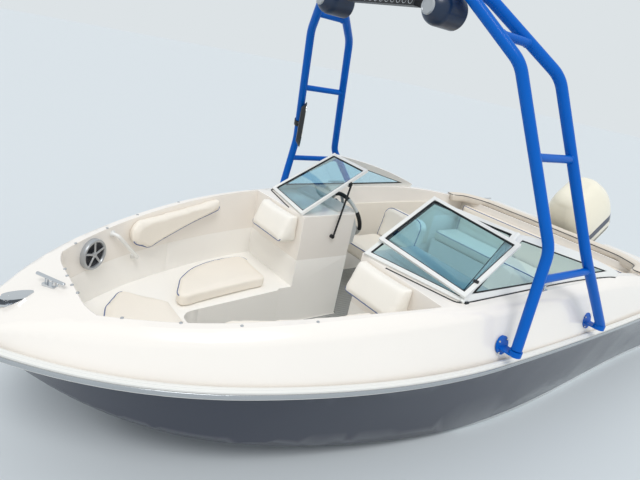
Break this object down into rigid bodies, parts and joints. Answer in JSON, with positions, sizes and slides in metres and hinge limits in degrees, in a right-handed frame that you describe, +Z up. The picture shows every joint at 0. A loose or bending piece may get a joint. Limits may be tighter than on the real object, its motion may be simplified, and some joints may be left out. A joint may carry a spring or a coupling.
{
  "type": "bowrider speedboat",
  "caption": "Open-bow fibreglass speedboat with a split windshield, padded seating, a tubular wake tower and a tilted outboard motor.",
  "frame": {"origin": "on the centreline at the waterline, about halfway along the boat", "axes": "+X to the bow, +Y to port, +Z up"},
  "size_m": [6.2342, 2.4904, 2.705],
  "materials": {
    "gelcoat_white": "glossy gelcoat",
    "gelcoat_bottom": "glossy gelcoat, navy band above the chine",
    "liner_white": "satin gelcoat",
    "rail_white": "satin vinyl",
    "rail_insert": "bright strip",
    "mat_grey": "ribbed marine mat",
    "vinyl_cream": "padded marine vinyl with blue piping",
    "vinyl_tan": "padded marine vinyl with dark piping",
    "frame_white": "satin white paint",
    "screen_glass": "clear, faintly green",
    "tower_blue": "gloss blue paint",
    "black_plastic": "satin black",
    "mirror_glass": "polished",
    "steel": "polished stainless steel",
    "console_grey": "satin grained",
    "motor_cream": "gloss paint with a navy stripe",
    "motor_grey": "gloss paint",
    "engine_block": "painted casting",
    "prop_black": "gloss black enamel"
  },
  "bodies": {
    "boat": {"bench_back": "vinyl_cream", "bench_base": "liner_white", "bench_cushion": "vinyl_cream", "bow_aft_backrests": "vinyl_cream", "bow_eye": "steel", "bow_front_cushion": "vinyl_cream", "bow_handles": "frame_white", "bow_light": "steel", "bow_liner": "liner_white", "bow_seat_cushions": "vinyl_cream", "bow_side_backrests": "vinyl_cream", "bow_speakers": "black_plastic", "cleats": "steel", "cockpit_tub": "liner_white", "deck": "gelcoat_white", "helm_dash": "console_grey", "hull": "gelcoat_bottom", "light_bar": "black_plastic", "mirror": "black_plastic", "mirror_glass": "mirror_glass", "motor_clamp": "motor_grey", "port_dash": "console_grey", "rub_rail": "rail_white", "rub_rail_insert": "rail_insert", "screen_frames": "frame_white", "screen_glass": "screen_glass", "screen_stay": "black_plastic", "seat_backs": "vinyl_cream", "seat_cushions": "vinyl_cream", "seat_pedestals": "steel", "side_panels": "vinyl_cream", "sole_mat": "mat_grey", "speaker_pods": "black_plastic", "speaker_rings": "steel", "steering_column": "black_plastic", "stern_bolster": "vinyl_tan", "tower_feet": "tower_blue", "tower_front_hoop": "tower_blue", "tower_rear_hoop": "tower_blue", "tower_rungs": "tower_blue"},
    "window": {"window_frame": "frame_white", "window_glass": "screen_glass"},
    "wheel": {"steering_wheel": "black_plastic"},
    "swivel": {"motor_swivel": "motor_grey"},
    "motor": {"motor_leg": "motor_cream", "gearcase": "motor_cream", "motor_pan": "motor_cream", "motor_cowl": "motor_cream", "powerhead": "engine_block"},
    "propeller": {"propeller": "prop_black"}
  },
  "joints": [
    {"name": "motor_tilt", "type": "hinge", "parent": "boat", "child": "swivel", "pos_m": [-2.89, 0, 0.458], "axis": [0, 1, 0], "range_deg": [-40, 6]},
    {"name": "motor_steer", "type": "hinge", "parent": "swivel", "child": "motor", "pos_m": [-2.99922, 0, 0.53735], "axis": [0.5878, 0, 0.809], "range_deg": [-30, 30]},
    {"name": "propeller_spin", "type": "hinge", "parent": "motor", "child": "propeller", "pos_m": [-3.82352, 0, 0.02378], "axis": [0.809, 0, -0.5878], "continuous": true},
    {"name": "wheel_turn", "type": "hinge", "parent": "boat", "child": "wheel", "pos_m": [-0.2, -0.56, 0.85], "axis": [-0.9063, 0, 0.4226], "range_deg": [-540, 540]},
    {"name": "window_swing", "type": "hinge", "parent": "boat", "child": "window", "pos_m": [0.38993, 0.32216, 0.98068], "axis": [-0.8474, -0.0124, 0.5308], "range_deg": [-188.84, 0]}
  ],
  "couplings": [
    {"joint": "wheel_turn", "follows": "motor_steer", "ratio": -18}
  ]
}
